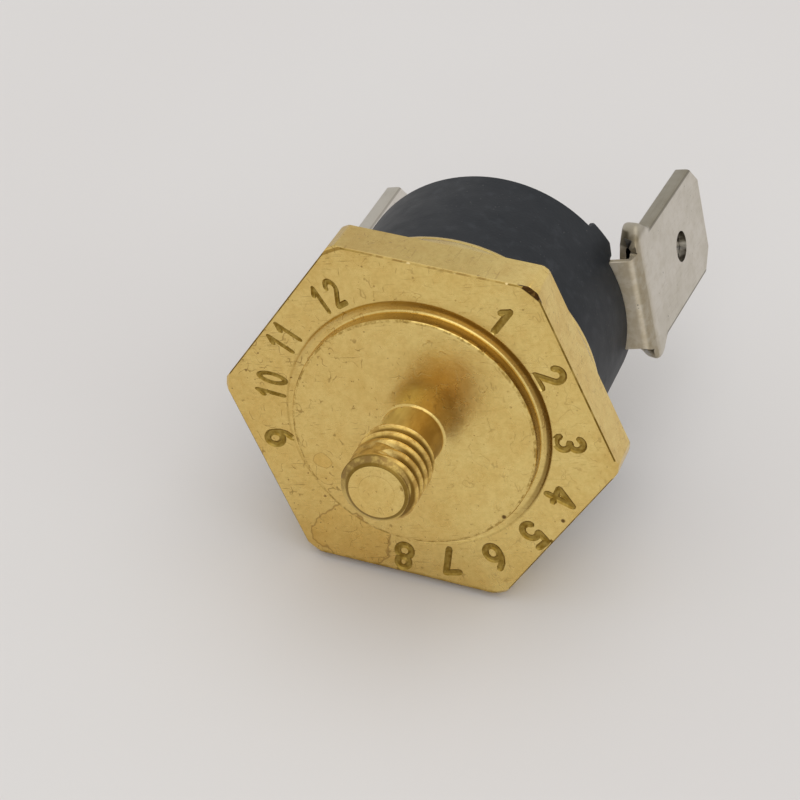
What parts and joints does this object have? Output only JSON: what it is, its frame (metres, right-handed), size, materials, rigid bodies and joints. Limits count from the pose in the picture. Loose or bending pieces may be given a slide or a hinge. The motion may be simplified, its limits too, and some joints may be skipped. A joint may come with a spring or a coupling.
{
  "type": "screw-mount thermostat",
  "caption": "Snap-action thermostat with a hexagonal brass base, a threaded stud on a raised contact face, a crimped round housing and folded tab terminals.",
  "frame": {"origin": "centre of the raised contact face that seats on the surface being sensed", "axes": "+Z along the stud's axis, away from the stud and towards the terminals; +X through both terminals, towards terminal_right; the stud points along -Z"},
  "size_m": [0.0198, 0.02, 0.0302],
  "materials": {
    "brass": "satin",
    "phenolic": "matte",
    "nickel_plate": "satin",
    "rivet_metal": "satin",
    "bimetal": "satin",
    "guide_plastic": "matte",
    "ceramic": "matte",
    "spring_bronze": "satin",
    "silver": "satin",
    "bracket_brass": "satin"
  },
  "bodies": {
    "base": {"hex_base": "brass", "housing": "phenolic", "terminal_right": "nickel_plate", "terminal_left": "nickel_plate", "rivet_right": "rivet_metal", "rivet_left": "rivet_metal", "bimetal_disc": "bimetal", "pin_guide": "guide_plastic", "contact_bracket": "bracket_brass", "fixed_contact": "silver"},
    "pin": {"push_pin": "ceramic"},
    "arm": {"contact_arm": "spring_bronze", "moving_contact": "silver"}
  },
  "joints": [
    {"name": "pin_lift", "type": "slide", "parent": "base", "child": "pin", "axis": [0, 0, 1], "range_m": [0, 0.00025], "deforming": ["bimetal_disc"]},
    {"name": "arm_lift", "type": "hinge", "parent": "base", "child": "arm", "pos_m": [-0.0027, 0, 0.0103], "axis": [0, -1, 0], "range_deg": [0, 5.7], "stiffness_Nm_per_rad": 0.01, "springref_deg": -11.46, "deforming": ["contact_arm"]}
  ],
  "couplings": [
    {"joint": "arm_lift", "follows": "pin_lift", "rad_per_m": 392}
  ]
}
